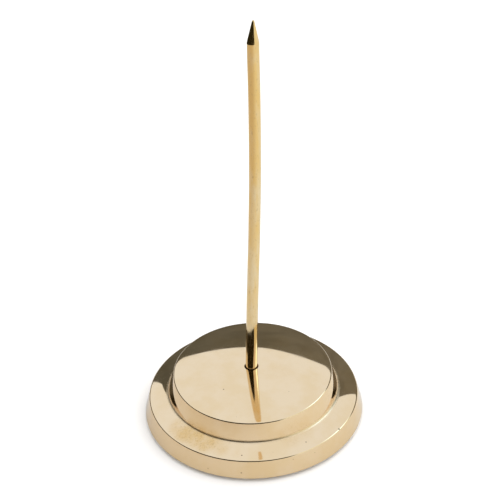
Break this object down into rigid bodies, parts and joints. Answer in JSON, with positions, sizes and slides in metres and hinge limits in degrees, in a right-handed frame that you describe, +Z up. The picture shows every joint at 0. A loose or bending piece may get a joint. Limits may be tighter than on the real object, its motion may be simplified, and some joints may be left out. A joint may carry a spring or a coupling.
{
  "type": "spike stand",
  "caption": "Round stepped brass base, hollow underneath, with a tall pointed rod clamped upright in it to impale paper slips or carry a candle on its point.",
  "frame": {"origin": "middle of the base on the surface it stands on", "axes": "+Z up along the base's axis; +X is the side that the rod leans to; -Y is the front"},
  "size_m": [0.1, 0.1, 0.2099],
  "materials": {
    "cast_brass": "cast, turned and hand polished to a mirror, with faint waves, small casting pits and light tarnish",
    "drawn_brass": "drawn rod, polished lengthwise, with fine lines along it",
    "machined_brass": "turned and stamped hardware, dull satin",
    "spring_steel": "zinc plated spring steel, dull",
    "felt": "dense pressed felt, matt, dark green"
  },
  "bodies": {
    "root": {"base_casting": "cast_brass", "spike": "drawn_brass", "plain_washer": "machined_brass", "spring_washer": "spring_steel", "hex_nut": "machined_brass", "felt_pad_1": "felt", "felt_pad_2": "felt", "felt_pad_3": "felt", "felt_pad_4": "felt"}
  },
  "joints": []
}
